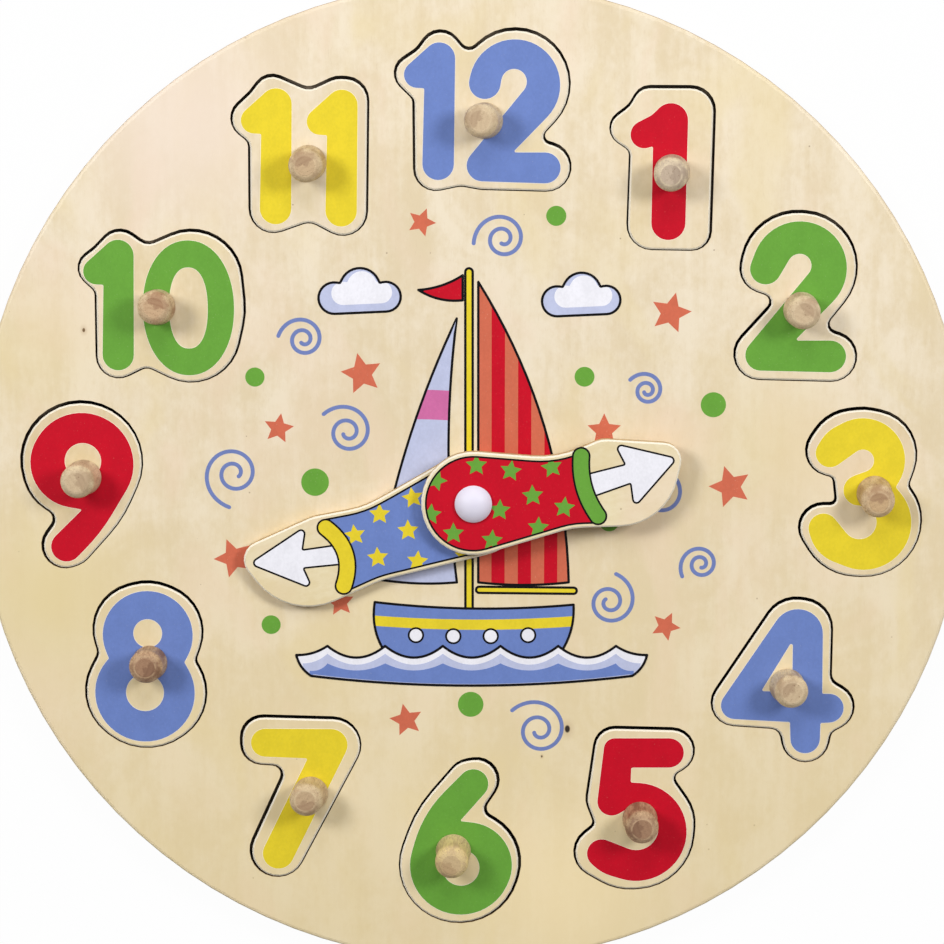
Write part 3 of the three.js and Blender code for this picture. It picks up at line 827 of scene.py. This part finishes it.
def grown(outline, amount):
    """The outline moved outwards by an amount, or inwards if it is negative, with round joins
    where a corner opens."""
    clean = [p for p, q in zip(outline, outline[1:] + outline[:1]) if math.dist(p, q) > same_point]
    moved = []
    for before, (x, y), after in zip(clean[-1:] + clean[:-1], clean, clean[1:] + clean[:1]):
        sides = []
        for (ax, ay), (bx, by) in ((before, (x, y)), ((x, y), after)):
            length = math.dist((ax, ay), (bx, by))
            sides.append(((by - ay) / length, (ax - bx) / length))
        (nx, ny), (mx, my) = sides
        turn = math.atan2(nx * my - ny * mx, nx * mx + ny * my)
        if abs(turn) > round_step and turn * amount > 0:
            first, steps = math.atan2(ny, nx), math.ceil(abs(turn) / round_step)
            for angle in (first + turn * step / steps for step in range(steps + 1)):
                moved.append((x + amount * math.cos(angle), y + amount * math.sin(angle)))
        else:
            size = amount / max(least_opening, 1 + nx * mx + ny * my)
            moved.append((x + (nx + mx) * size, y + (ny + my) * size))
    return moved


def ring_of(outline, width):
    """The two outlines of a thin line that follows a closed outline."""
    return [grown(outline, width / 2), grown(outline, -width / 2)]


def stroke(points, width):
    """The outline of an open line with round ends."""
    half, sides, quarter = width / 2, ([], []), math.pi / 2
    for i, (x, y) in enumerate(points):
        (ax, ay), (bx, by) = points[max(i - 1, 0)], points[min(i + 1, len(points) - 1)]
        heading = math.atan2(by - ay, bx - ax)
        bends = [0]
        if i == 0:
            bends = [quarter * k / end_steps for k in range(end_steps, -1, -1)]
        elif i == len(points) - 1:
            bends = [-quarter * k / end_steps for k in range(end_steps + 1)]
        for side, way in zip(sides, (-1, 1)):
            side += [(x + half * math.cos(heading + way * (quarter + bend)),
                      y + half * math.sin(heading + way * (quarter + bend))) for bend in bends]
    return sides[0] + sides[1][::-1]


print("points on a round eye", len(oval(0, 0, 1, 1)))

# %% [markdown]
# ## Numerals
# The numerals are the clock's dial numbers, in fat rounded strokes and four inks that follow
# one another round the dial. The whole sheet is printed before it is sawn, so a numeral's
# rollers are places on the sheet in millimetres from its middle. Closed eyes and bowls are
# outlines of their own, which the fill leaves open. Under each numeral lies a cream one that
# is a hair larger, as printers lay a pale ground under ink on wood.

# %% Numeral outlines
def slim_one(x, top, foot):
    """The narrow one of ten, eleven and twelve: its stem's place and its two ends."""
    return belt([(x, top, 4.7), (x - 6.6, top - 4.8, 3.9), (x - 4.9, top - 9.2, -0.4),
                 (x - 0.4, foot, 4.7)])


ground_rim = 0.13
numerals = {
    "tile_01": ("red", [belt([
        (59.3, 109.2, 5.1), (49.5, 116.5, -7), (51.4, 105, 4.1), (53.6, 101, -0.4),
        (58.8, 78.7, 5.1)])], []),
    "tile_02": ("green", [belt([
        (98.2, 65, 14.2), (88.1, 65, 4.7), (98.2, 65.9, -3.6), (87, 39, 4.7),
        (107.8, 38.6, 4.8), (98.1, 43.8, -0.4)])], []),
    "tile_03": ("yellow", [belt([
        (118, 6.9, 13), (114.8, 7.7, 10.8), (108.3, 9.3, 4.4), (118.2, 6.9, -3.4),
        (117.2, -2.1, 4.7), (117.6, -12, -5.1), (106.6, -13.7, 4.5), (114.2, -12.9, 12),
        (119, -12.3, 14.3), (129.3, -1.1, -0.8)])], []),
    "tile_04": ("blue", [belt([
        (99.3, -46.4, 7.7), (80.5, -68.6, 4.3), (97, -74.2, -0.4), (102.1, -79.1, 4.5),
        (107.1, -74.5, -0.4), (109.2, -69.5, 4.5), (107.5, -64.6, -0.4)])],
        [belt([(97.4, -50, 0.5), (89.3, -63.7, 0.5), (97.4, -63.7, 0.5)])]),
    "tile_05": ("red", [belt([
        (60.4, -83.5, 4.6), (43.8, -82.2, 3.3), (43, -98.8, 4.4), (50.6, -107.3, -6.8),
        (40, -115.2, 4.5), (46.6, -110, 12.8), (50.6, -108.4, 15.5), (49.3, -92.3, -0.5),
        (49.4, -88.6, -0.5)])], []),
    "tile_06": ("green", [belt([
        (0.5, -93.2, 4.6), (18.2, -121.6, 37.1), (-3.4, -119, 15.6), (-1.3, -119, 13.7),
        (-3, -104.7, -0.3)])], [oval(-3.3, -119.7, 5.7, 5.7)]),
    "tile_07": ("yellow", [belt([
        (-43, -81, 5), (-63.2, -80.3, 4.4), (-50.9, -85.6, -0.4), (-59.5, -115.2, 4.8)])], []),
    "tile_08": ("blue", [belt([
        (-98.7, -46.8, 13.7), (-111, -53.9, -0.3), (-99.8, -64.7, 15.2), (-87.3, -55.2, -0.3)])],
        [oval(-98.7, -46.2, 4.4, 4.4), oval(-99.8, -64.6, 5.8, 5.8)]),
    "tile_09": ("red", [belt([
        (-117.7, 6, 15.5), (-119.7, 6.2, 13.7), (-118.6, -8.2, -0.3), (-123, -19.4, 4.6),
        (-157.9, 20.1, 57.2)])], [oval(-117.5, 6.8, 5.5, 5.5)]),
    "tile_10": ("green", [slim_one(-105.9, 69, 39.1), oval(-85, 53.2, 13.7, 20.3, 2.1)],
                [oval(-85, 53.2, 5.8, 12.2, 2.3)]),
    "tile_11": ("yellow", [slim_one(-58.2, 114, 83), slim_one(-38.6, 113.6, 82.3)], []),
    "tile_12": ("blue", [slim_one(-9.6, 127.5, 96.2), belt([
        (12.8, 119.6, 13.5), (3.9, 120.2, 4.7), (12.6, 120.6, -3.8), (3.2, 95.8, 4.7),
        (21.9, 95.1, 4.6), (13.2, 100.1, -0.4)])], []),
}
for tile, (colour, outers, eyes) in numerals.items():
    ground = [grown(outline, ground_rim) for outline in outers]
    ground += [grown(outline, -ground_rim) for outline in eyes]
    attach(film(tile.replace("tile", "ground"), ground, 1, tile_face, "cream"), tile)
    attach(film(tile.replace("tile", "numeral"), outers + eyes, 2, tile_face, colour), tile)
print("numerals", len(numerals))

# %% [markdown]
# ## Stars and dots
# Scattered five-pointed stars and round dots fill the ring between the picture and the tiles.
# A star is a ten-cornered disc with every other corner drawn in. It is modelled once, pulled
# up to a film, and copied to each place, turned and sized as listed.

# %% Scatter the stars and dots
star_corners, star_waist = 10, 0.48
dot_corners = 48
stars = ((-15, 78.9, 4.4, -21), (59.8, 51.7, 6.3, -14), (-33.1, 33.3, 6.4, 12),
         (-58.3, 16.7, 4.7, -10), (40.0, 16.0, 5.3, 0), (78.3, -1.1, 6.6, 17), (-72.2, -23, 6.2, 21),
         (-40, -36.7, 4.4, 6), (59.1, -44.1, 4.6, -25), (-20, -73.3, 5.2, 12))
dots = ((25.3, 80.8, 3.0, 0), (-65.3, 32.3, 2.9, 0), (34, 32.4, 3.0, 0), (72.9, 23.9, 3.8, 0),
        (-47.4, 0.3, 4.2, 0), (-61.1, -43.6, 2.9, 0), (-0.3, -68.4, 3.9, 0), (41.7, -11.8, 3.0, 0))


def pattern_disc(name, corners, waist=1.0):
    """A disc of radius 1 and one film thick; a waist below 1 draws every other corner in."""
    middle = (0, 0, 0)
    bpy.ops.object.select_all(action="DESELECT")
    bpy.ops.mesh.primitive_circle_add(vertices=corners, radius=1, fill_type="NGON", location=middle)
    disc = bpy.context.object
    bpy.ops.object.mode_set(mode="EDIT")
    bpy.ops.mesh.select_all(action="DESELECT")
    bpy.ops.object.mode_set(mode="OBJECT")
    for vertex in disc.data.vertices:
        vertex.select = vertex.index % 2 == 1
    bpy.ops.object.mode_set(mode="EDIT")
    bpy.ops.transform.resize(value=(waist, waist, 1), center_override=middle)
    bpy.ops.mesh.select_all(action="SELECT")
    bpy.ops.mesh.extrude_region_move(
        TRANSFORM_OT_translate={"value": (0, 0, film_root + film_step)})
    face_outwards()
    disc.name = name
    return disc


def scattered(name, pattern, places, face, layer=1):
    """Copies of a pattern at (x, y, radius, turn), joined into one piece."""
    rise = (film_root + layer * film_step) / (film_root + film_step)
    copies = []
    for x, y, radius, turn in places:
        copy = bpy.data.objects.new(name, pattern.data.copy())
        bpy.context.scene.collection.objects.link(copy)
        copy.location = (x * mm, y * mm, (face - film_root) * mm)
        copy.rotation_euler.z = math.radians(turn)
        copy.scale = (radius * mm, radius * mm, rise * mm)
        copies.append(copy)
    return settle(joined(name, copies))


star = pattern_disc("star_pattern", star_corners, star_waist)
dot = pattern_disc("dot_pattern", dot_corners)
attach(dress(scattered("print_stars", star, stars, board_face), inks["coral"]), "board")
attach(dress(scattered("print_dots", dot, dots, board_face), inks["green"]), "board")
print("stars", len(stars), "dots", len(dots))

# %% [markdown]
# ## Spirals
# The curls are one thin line that winds outwards, the whole way round nearly twice, and flicks
# open at its tail. A formula gives the middle line, and the stroke helper gives it its width
# and round ends. A row is the place, the tail's direction and how far out the tail ends.

# %% Wind the spirals
spiral_line, spiral_steps = 1.2, 90
spiral_turn = 655
heart_share, flick_share, flick_power = 0.16, 0.22, 8
spirals = ((9.3, 73.9, 188.5, 8.8), (-50.6, 43.7, 172, 7.6), (-37.5, 15.6, 142.6, 9.0),
           (-71.9, 3.0, 261.3, 10.5), (52.8, 28.2, 147, 6.0), (69.6, -24.9, 214, 6.75),
           (41.9, -36.6, 77, 8.9), (20.6, -76.5, 142.9, 10.3), (57.1, -3.4, 100, 8.0))


def spiral(x, y, tail_angle, tail_radius):
    steady_share = 1 - heart_share - flick_share
    points = []
    for step in range(spiral_steps + 1):
        t = step / spiral_steps
        angle = math.radians(tail_angle - spiral_turn * (1 - t))
        radius = tail_radius * (heart_share + steady_share * t + flick_share * t ** flick_power)
        points.append((x + radius * math.cos(angle), y + radius * math.sin(angle)))
    return stroke(points, spiral_line)


curls = film("print_spirals", [spiral(*place) for place in spirals], 1, board_face, "spiral")
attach(curls, "board")
print("spirals", len(spirals))

# %% [markdown]
# ## The picture: a sailing boat
# The middle of the board shows a plain sailing boat under two clouds, in the same inks and
# black line as the rest of the print. It is built from back to front as a printer separates
# it: flat colours first, the black line last. Areas that overlap lie on layers of their own.

# %% Picture helpers
line_width = 0.75


def area(name, outline, layer, colour, inside=None):
    """One flat colour of the picture, kept inside another outline if one is given."""
    piece = film(name, [outline], layer, board_face, colour)
    if inside:
        clipped(piece, inside, board_face)
        print(name, "faces left", len(piece.data.polygons))
    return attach(piece, "board")


def lines(name, outlines, layer, width=line_width):
    """Black line round closed outlines."""
    rings = [edge for outline in outlines for edge in ring_of(outline, width)]
    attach(film(name, rings, layer, board_face, "black"), "board")


def banded(piece, start, width, colours):
    """Cuts a film into upright bands from a start and gives them inks in turn."""
    take(piece)
    low, high = (pick(vertex.co.x for vertex in piece.data.vertices) / mm for pick in (min, max))
    bpy.ops.object.mode_set(mode="EDIT")
    edge = start
    while edge < high:
        if edge > low:
            bpy.ops.mesh.select_all(action="SELECT")
            bpy.ops.mesh.bisect(plane_co=(edge * mm, 0, 0), plane_no=(1, 0, 0))
        edge += width
    bpy.ops.object.mode_set(mode="OBJECT")
    piece.data.materials.clear()
    for colour in colours:
        piece.data.materials.append(inks[colour])
    for face in piece.data.polygons:
        face.material_index = math.floor((face.center.x / mm - start) / width) % len(colours)


print("black line", line_width, "mm wide")

# %% [markdown]
# ## Sails, mast and pennant
# The main sail is striped like awning cloth: it is one film, cut across at even steps, whose
# strips take two inks in turn. The foresail is pale with a broad pink band and a white one.
# Mast and boom keep a line's width clear of the sails, so that they can share their layers.

# %% Print the rig
sail_foot, mast_x, mast_foot, mast_top = -30.5, -0.8, -39, 64
mast_width, boom_width = 2.2, 1.9
stripe_start, stripe_width = -2, 4.0
stencil_inset = 0.1
main_sail = bowed([(2, sail_foot, 0.8), (29.5, sail_foot, 6.5), (2, 61, 0)])
fore_sail = bowed([(-29, sail_foot + 1, 0.8), (-4.5, sail_foot, -2.5), (-4.5, 50, 3)])
pennant = bowed([(-2.7, 55.5, 0), (-2.7, 63, -0.9), (-16, 58.6, 1.2)])
mast = stroke([(mast_x, mast_foot), (mast_x, mast_top)], mast_width)
boom = stroke([(2.3, sail_foot - 2.3), (31, sail_foot - 2.6)], boom_width)
striped_sail = area("boat_main_sail", main_sail, 1, "red")
banded(striped_sail, stripe_start, stripe_width, ("red", "coral"))
area("boat_fore_sail", fore_sail, 1, "lavender")
sail_bands = (("boat_sail_band", "pink", 18, 27), ("boat_sail_trim", "white", -24, -19))
for name, colour, low, high in sail_bands:
    across = bowed([(-40, low, -1.5), (5, low, 0), (5, high, 1.5), (-40, high, 0)])
    area(name, across, 2, colour, grown(fore_sail, -stencil_inset))
area("boat_pennant", pennant, 1, "red")
area("boat_spars", mast, 1, "yellow")
area("boat_boom", boom, 1, "yellow")
lines("boat_sail_lines", [main_sail, fore_sail, pennant], 3)
lines("boat_spar_lines", [mast, boom], 2)
print("rig printed")

# %% [markdown]
# ## Hull, sea and clouds
# The hull hides the mast's foot, and the scalloped waves lie in front of the hull, so each
# is on higher layers than the last. The sea's paler and deeper waters are the same outline,
# a little narrower and with lower scallops. The clouds are belts round three rollers with a
# tight notch between each two.

# %% Print the hull, the sea and the clouds
hull = bowed([(-29.5, -36.6, 3), (-22, -57, 0), (23, -57, 2.5), (31, -37.4, -1.6)])
strake = bowed([(-40, -43, 2), (40, -43.4, 0), (40, -40.2, -2), (-40, -39.8, 0)])
porthole_row, porthole_sheer, porthole_radius, porthole_line = -47.2, 0.0012, 2.2, 0.6
porthole_steps = 40
portholes = [oval(x, porthole_row + porthole_sheer * x * x, porthole_radius, porthole_radius,
                  steps=porthole_steps) for x in (-17, -5.6, 5.8, 17.2)]
wave_peaks = (44, 26.4, 8.8, -8.8, -26.4, -44)
end_sag = 0.8


def sea_outline(foot, end, crest, sag):
    """The sea from its low corners and blunt ends, both (x, y), up to its scalloped top."""
    scallops = [(x, crest, -sag) for x in wave_peaks[:-1]] + [(wave_peaks[-1], crest, -end_sag)]
    return bowed([(-foot[0], foot[1], 3), (foot[0], foot[1], end_sag), (end[0], end[1], -end_sag),
                  *scallops, (-end[0], end[1], end_sag)])


sea = sea_outline((49, -59.5), (53.5, -53), -50.2, 3.6)
area("boat_hull", hull, 3, "blue")
area("boat_strake", strake, 4, "yellow", grown(hull, -stencil_inset))
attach(film("boat_portholes", portholes, 4, board_face, "white"), "board")
lines("boat_hull_line", [hull], 5)
lines("boat_porthole_lines", portholes, 5, porthole_line)
area("sea_crest", sea, 6, "white")
area("sea_body", sea_outline((48.7, -59.2), (51.6, -55.6), -52.6, 3.4), 7, "lavender")
area("sea_deep", sea_outline((48.2, -59), (49.4, -57.9), -55.6, 2.2), 8, "blue")
lines("sea_line", [sea], 9)


def cloud(x, y, size):
    puffs = ((9, -0.5, 5.2), (7.1, 4.8, -0.4), (0, 2.5, 7), (-7.2, 4.7, -0.4), (-9, -1, 5.5))
    return belt([(x + size * px, y + size * py, size * radius) for px, py, radius in puffs])


clouds = ((-33.5, 57, 0.86), (33, 56, 0.82))
light_x, light_y, light_share = 0.6, 1.2, 0.74
shade_outlines = [cloud(*place) for place in clouds]
light_outlines = [cloud(x + light_x, y + light_y, size * light_share) for x, y, size in clouds]
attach(film("cloud_shade", shade_outlines, 1, board_face, "lavender"), "board")
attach(film("cloud_light", light_outlines, 2, board_face, "white"), "board")
lines("cloud_lines", shade_outlines, 3)
print("boat, sea and clouds printed")

# %% [markdown]
# ## The hands' print
# Each hand has a starry sleeve of colour edged by a black line, a bright cuff across it, and a
# white arrow that points at the number. The sleeve follows the wood's own outline a little
# inside it, so the hand's belt is drawn again from its rollers, as shares of its reach, and
# moved inwards. Everything is drawn along +X and then turned to the hand.

# %% Hand outlines
hand_reach = {"hour_hand": 63.7, "minute_hand": 71.9}
hand_shares = {
    "hour_hand": [(0.446, -0.589, -0.397), (0.703, 0.063, 0.283), (0.915, 0.060, 0.085),
                  (0.645, 0.082, 0.122), (0.419, 0.636, -0.471), (0, 0, 0.246)],
    "minute_hand": [(0.364, -0.295, -0.172), (0.487, -0.517, -0.417), (0.665, -0.004, 0.108),
                    (0.921, 0.008, 0.079), (0.718, -0.014, 0.275), (0.431, 0.640, -0.417),
                    (0, 0.014, 0.220)],
}
cuffs = {"hour_hand": ((34.2, 9.2), (33.6, -0.4), (36.4, -9.6)),
         "minute_hand": ((45.1, -4.0), (41.5, 5.2), (44.6, 14.6))}
arrows = {
    "hour_hand": [(60.2, 3.6, 1.2), (46.4, 9.4, 1.1), (46.3, 4.9, -0.4), (34.6, 2.4, 1),
                  (35.2, -2.6, 1), (47.2, -1.8, -0.4), (48.6, -6.4, 1.1)],
    "minute_hand": [(67.8, 1.0, 1.2), (55.4, 10.6, 1.1), (54.5, 6.6, -0.4), (42.4, 7.2, 1),
                    (41.8, 3.2, 1), (53.2, 0.4, -0.4), (52.8, -4.2, 1.1)],
}
cuff_steps = 14


def on_hand(hand, points):
    """Turns points drawn along +X from the pivot to where the hand lies on the board."""
    turn = math.radians(hand_turns[hand])
    c, s = math.cos(turn), math.sin(turn)
    return [(pivot_x + u * c - v * s, pivot_y + u * s + v * c) for u, v in points]


def sleeve_rollers(hand):
    return [tuple(share * hand_reach[hand] for share in roller) for roller in hand_shares[hand]]


def curved(ends):
    """A smooth line through three points."""
    (x1, y1), (x2, y2), (x3, y3) = ends
    points = []
    for step in range(cuff_steps + 1):
        t = step / cuff_steps
        a, b, c = (1 - t) * (1 - 2 * t), 4 * t * (1 - t), t * (2 * t - 1)
        points.append((a * x1 + b * x2 + c * x3, a * y1 + b * y2 + c * y3))
    return points


print("hand reach", hand_reach)

# %% [markdown]
# ## Printing a hand
# The sleeve's field ends under the cuff. The stars are copies of the same star, and the
# stencil cuts those that run over the edge, as on the printed sheet. The rivet's journal
# comes through the field at the pivot, under the cap.

# %% Print the hands
sleeve_inset, star_inset = 1.4, 0.2
cuff_width, sleeve_line, hand_star_radius = 5.0, 0.55, 3.35
cover_reach = 60
hand_inks = {"hour_hand": ("red", "green", "green"), "minute_hand": ("blue", "yellow", "yellow")}
hand_stars = {
    "hour_hand": ((1.4, 6.7, 0), (11.7, 5.0, -8), (24, 6.1, 10), (18.3, -2.5, 3), (8.4, -6.9, -3),
                  (27.8, -6.1, -6), (20, -12.2, -3), (6.1, -16.1, -4), (-5.5, -14, 0),
                  (-10.6, 2.1, -20), (-12.3, -8.2, -5)),
    "minute_hand": ((-27.8, -8.8, 0), (-35.3, -15.2, 8), (-19.2, -13.8, 2), (-28.4, -22.1, 4),
                    (-16.4, -23.2, -5), (-17.8, -3.8, 10), (-2, -21.6, 0)),
}


def print_hand(hand):
    face = hand_faces[hand]
    field_ink, star_ink, cuff_ink = hand_inks[hand]

    def hand_film(part, outlines, layer, colour):
        placed = [on_hand(hand, outline) for outline in outlines]
        return film(f"{hand}_{part}", placed, layer, face, colour)

    cuff_line = curved(cuffs[hand])
    band, arrow = stroke(cuff_line, cuff_width), belt(arrows[hand])
    inside = belt(sleeve_rollers(hand), -sleeve_inset)
    sleeve_end = sorted(cuff_line, key=lambda point: point[1])
    cover = [(-cover_reach, -cover_reach), (sleeve_end[0][0], -cover_reach), *sleeve_end,
             (sleeve_end[-1][0], cover_reach), (-cover_reach, cover_reach)]
    field = hand_film("field", [inside], 1, field_ink)
    clipped(field, on_hand(hand, cover), face)
    places = [(x, y, hand_star_radius, turn) for x, y, turn in hand_stars[hand]]
    sprinkled = dress(scattered(f"{hand}_stars", star, places, face, 2), inks[star_ink])
    clipped(sprinkled, on_hand(hand, grown(inside, -star_inset)), face)
    edge = hand_film("edge_line", ring_of(inside, sleeve_line), 3, "black")
    clipped(edge, on_hand(hand, cover), face)
    pointer = hand_film("arrow", [arrow], 2, "white")
    pointer_line = hand_film("arrow_line", ring_of(arrow, sleeve_line), 3, "black")
    cuff = hand_film("cuff", [band], 4, cuff_ink)
    cuff_edge = hand_film("cuff_line", ring_of(band, sleeve_line), 5, "black")
    for piece in (field, sprinkled, edge, pointer, pointer_line, cuff, cuff_edge):
        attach(piece, hand)


for hand in hand_shares:
    print_hand(hand)
for pattern in (star, dot):
    bpy.data.objects.remove(pattern)
print("hands printed")

# %% [markdown]
# ## Floor and surroundings
# The photograph is a cut-out on white. The floor is pale, takes the board's shadow, and adds
# white for camera, mirror and glass rays alone, so the background is white without more light
# on the toy. The world does the same above the floor.

# %% Floor and world
floor_side, floor_gap = 6.0, 0.5
floor_white, fill_strength = 0.97, 0.16
white, paper_grey = (1.0, 1.0, 1.0, 1.0), (0.82, 0.82, 0.82, 1.0)
bpy.ops.object.select_all(action="DESELECT")
bpy.ops.mesh.primitive_plane_add(size=floor_side, location=(0, 0, -floor_gap * mm))
floor = bpy.context.object
floor.name = "floor"
settle(floor)


def seen_directly(finish):
    """1 for camera, mirror and glass rays, and 0 for those that light a matt surface."""
    camera_ray, mirror_ray, glass_ray = (finish.node("LightPath", out=name) for name in (
        "Is Camera Ray", "Is Glossy Ray", "Is Transmission Ray"))
    return (camera_ray + mirror_ray + glass_ray).worked("MINIMUM", 1.0)


paper = Finish("floor_paper")
matte = paper.node("BsdfDiffuse", None, {"Color": paper_grey})
glow = paper.node("Emission", None, {"Color": white, "Strength": 1.0})
glowing_share = seen_directly(paper) * floor_white
dress(floor, paper.end(paper.node("MixShader", None, {0: glowing_share, 1: matte, 2: glow})))

world = bpy.data.worlds.new("studio")
bpy.context.scene.world = world
sky = Finish("studio", world)
strength = seen_directly(sky) * (1 - fill_strength) + fill_strength
sky.end(sky.node("Background", None, {"Color": white, "Strength": strength}), "OutputWorld")
print("floor and world made")

# %% [markdown]
# ## Lights and camera
# A soft lamp on each side, a little beyond the middle, gives every knob the two crossing
# shadows of the photograph. A larger and weaker one beyond the twelve shades the lower sides
# of knobs and hands. Each lamp is a place in metres, a power in watts and a side in metres.
# The camera looks almost straight down from above the twelve, close enough for the knobs to
# lean outwards towards the edges.

# %% Light the toy and aim the camera
lamps = {"right_lamp": ((0.72, 0.40, 0.88), 6.5, 0.32),
         "left_lamp": ((-0.68, 0.42, 0.86), 6.15, 0.32),
         "top_lamp": ((0.0, 0.78, 0.80), 3.0, 0.5)}
aim_x, aim_y = 0.1, 3.4
aim = Vector((aim_x, aim_y, board_face)) * mm


def look_at(thing, target):
    thing.rotation_euler = (target - thing.location).to_track_quat("-Z", "Y").to_euler()


for name, (place, watts, side) in lamps.items():
    bpy.ops.object.light_add(type="AREA", location=place)
    lamp = bpy.context.object
    lamp.name = name
    lamp.data.energy, lamp.data.size = watts, side
    look_at(lamp, aim)

camera_distance, camera_tilt = 0.95, math.radians(8.27)
sensor_width, focal_pixels, frame_pixels = 36.0, 3140, 944
nearest, farthest = 0.01, 20
bpy.ops.object.camera_add()
camera = bpy.context.object
camera.location = aim + camera_distance * Vector((0, math.sin(camera_tilt), math.cos(camera_tilt)))
camera.rotation_euler = (-camera_tilt, 0, 0)
camera.data.sensor_width = sensor_width
camera.data.lens = sensor_width * focal_pixels / frame_pixels
camera.data.clip_start, camera.data.clip_end = nearest, farthest
bpy.context.scene.camera = camera
bpy.context.scene.view_settings.view_transform = "Standard"
print("camera at", tuple(round(c, 3) for c in camera.location), "lens", round(camera.data.lens, 1))
